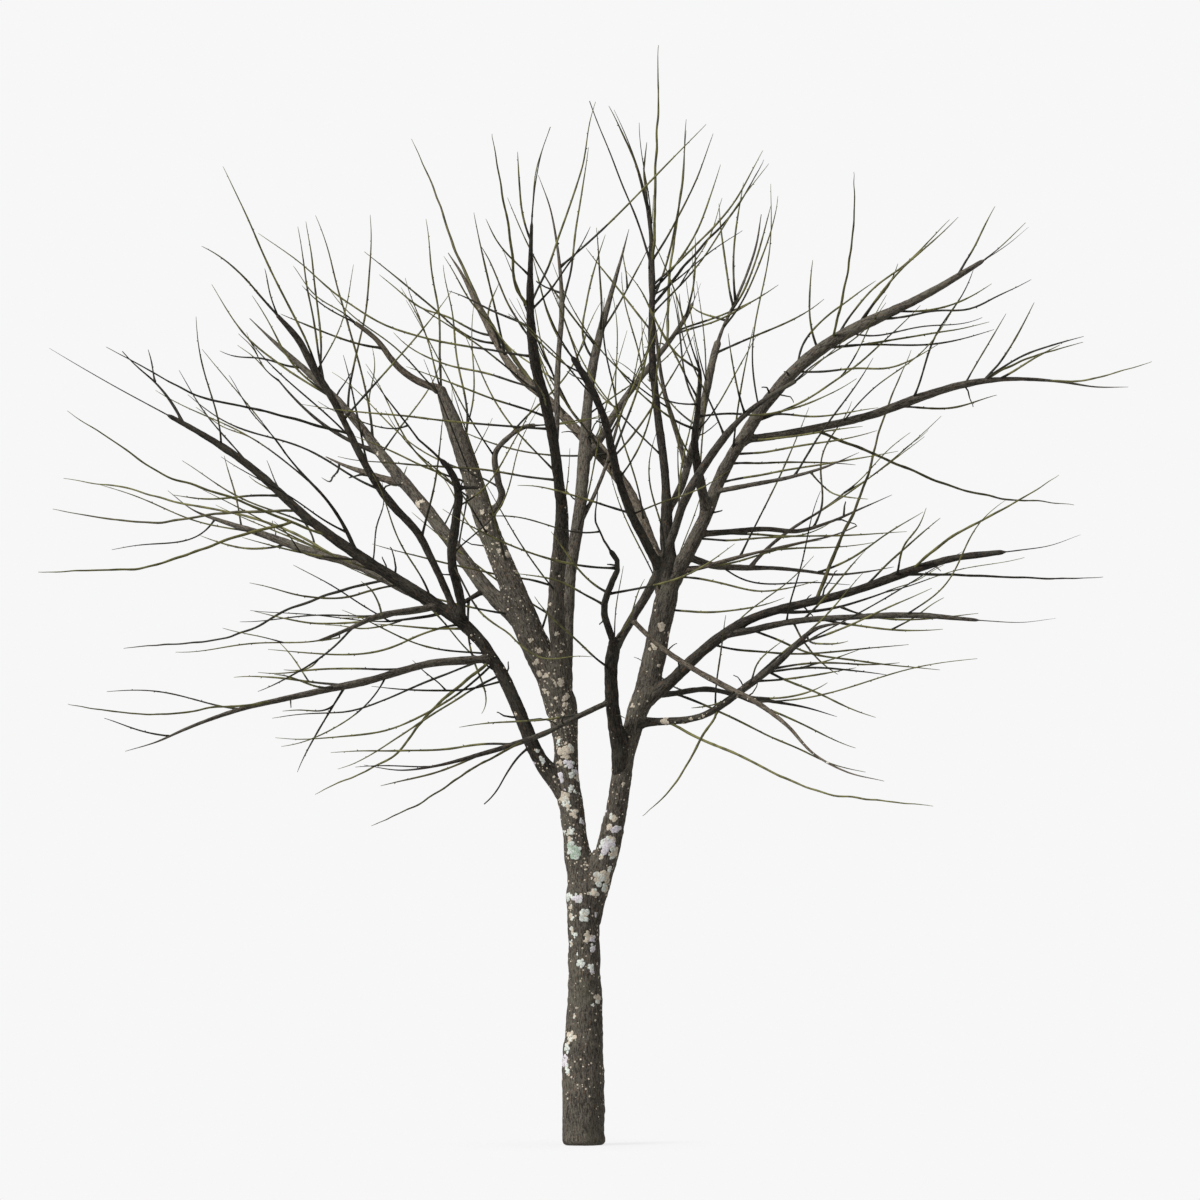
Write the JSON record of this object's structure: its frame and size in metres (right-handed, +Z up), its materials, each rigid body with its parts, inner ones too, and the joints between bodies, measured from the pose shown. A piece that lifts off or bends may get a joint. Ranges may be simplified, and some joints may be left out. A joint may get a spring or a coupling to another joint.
{
  "type": "bare winter tree",
  "caption": "Leafless broadleaf tree: a tapering trunk that forks at chest height into two stems, with spreading boughs and long slender shoots all round the crown.",
  "frame": {"origin": "middle of the flat cut under the trunk, at ground level", "axes": "+Z up along the trunk; X across the crown, with the thicker left stem at -X and the right stem at +X; -Y is the front"},
  "size_m": [7.1873, 5.8238, 7.154],
  "materials": {
    "bark": "rough, finely furrowed dark grey-brown bark",
    "young_bark": "smooth matte olive-brown bark of young shoots and twigs",
    "lichen": "dry chalky crust in cream, mint and lilac grey"
  },
  "bodies": {
    "root": {"trunk": "bark", "left_stem": "bark", "right_stem": "bark", "west_bough": "bark", "west_rear_bough": "bark", "west_rear_arm": "bark", "low_west_bough": "bark", "low_west_rear": "bark", "low_west_stub": "bark", "low_west_front": "bark", "low_west_riser": "bark", "west_front_bough": "bark", "centre_front_bough": "bark", "centre_rear_bough": "bark", "centre_rear_arm": "bark", "centre_slim_bough": "bark", "east_stem": "bark", "east_leader": "bark", "east_bough": "bark", "east_level_bough": "bark", "east_rear_bough": "bark", "inner_front_bough": "bark", "rear_crossing_bough": "bark", "east_side_arm": "bark", "east_rear_arm": "bark", "east_front_arm": "bark", "low_east_bough": "bark", "low_east_front": "bark", "low_east_arch": "bark", "low_rear_arch": "bark", "front_stem": "bark", "front_riser": "bark", "front_east_bough": "bark", "front_crossing_bough": "bark", "low_crossing_west": "bark", "low_crossing_east": "bark", "shoot_west_1": "young_bark", "shoot_west_2": "young_bark", "shoot_west_3": "young_bark", "shoot_west_4": "young_bark", "shoot_west_5": "young_bark", "shoot_west_6": "young_bark", "shoot_west_7": "young_bark", "shoot_west_8": "young_bark", "shoot_west_9": "young_bark", "shoot_east_1": "young_bark", "shoot_east_2": "young_bark", "shoot_east_3": "young_bark", "shoot_east_4": "young_bark", "shoot_east_5": "young_bark", "shoot_east_6": "young_bark", "shoot_east_7": "young_bark", "shoot_east_8": "bark", "shoot_top_1": "young_bark", "shoot_top_2": "young_bark", "shoot_top_3": "young_bark", "shoot_top_4": "young_bark", "shoot_top_5": "bark", "shoot_top_6": "young_bark"}
  },
  "joints": []
}
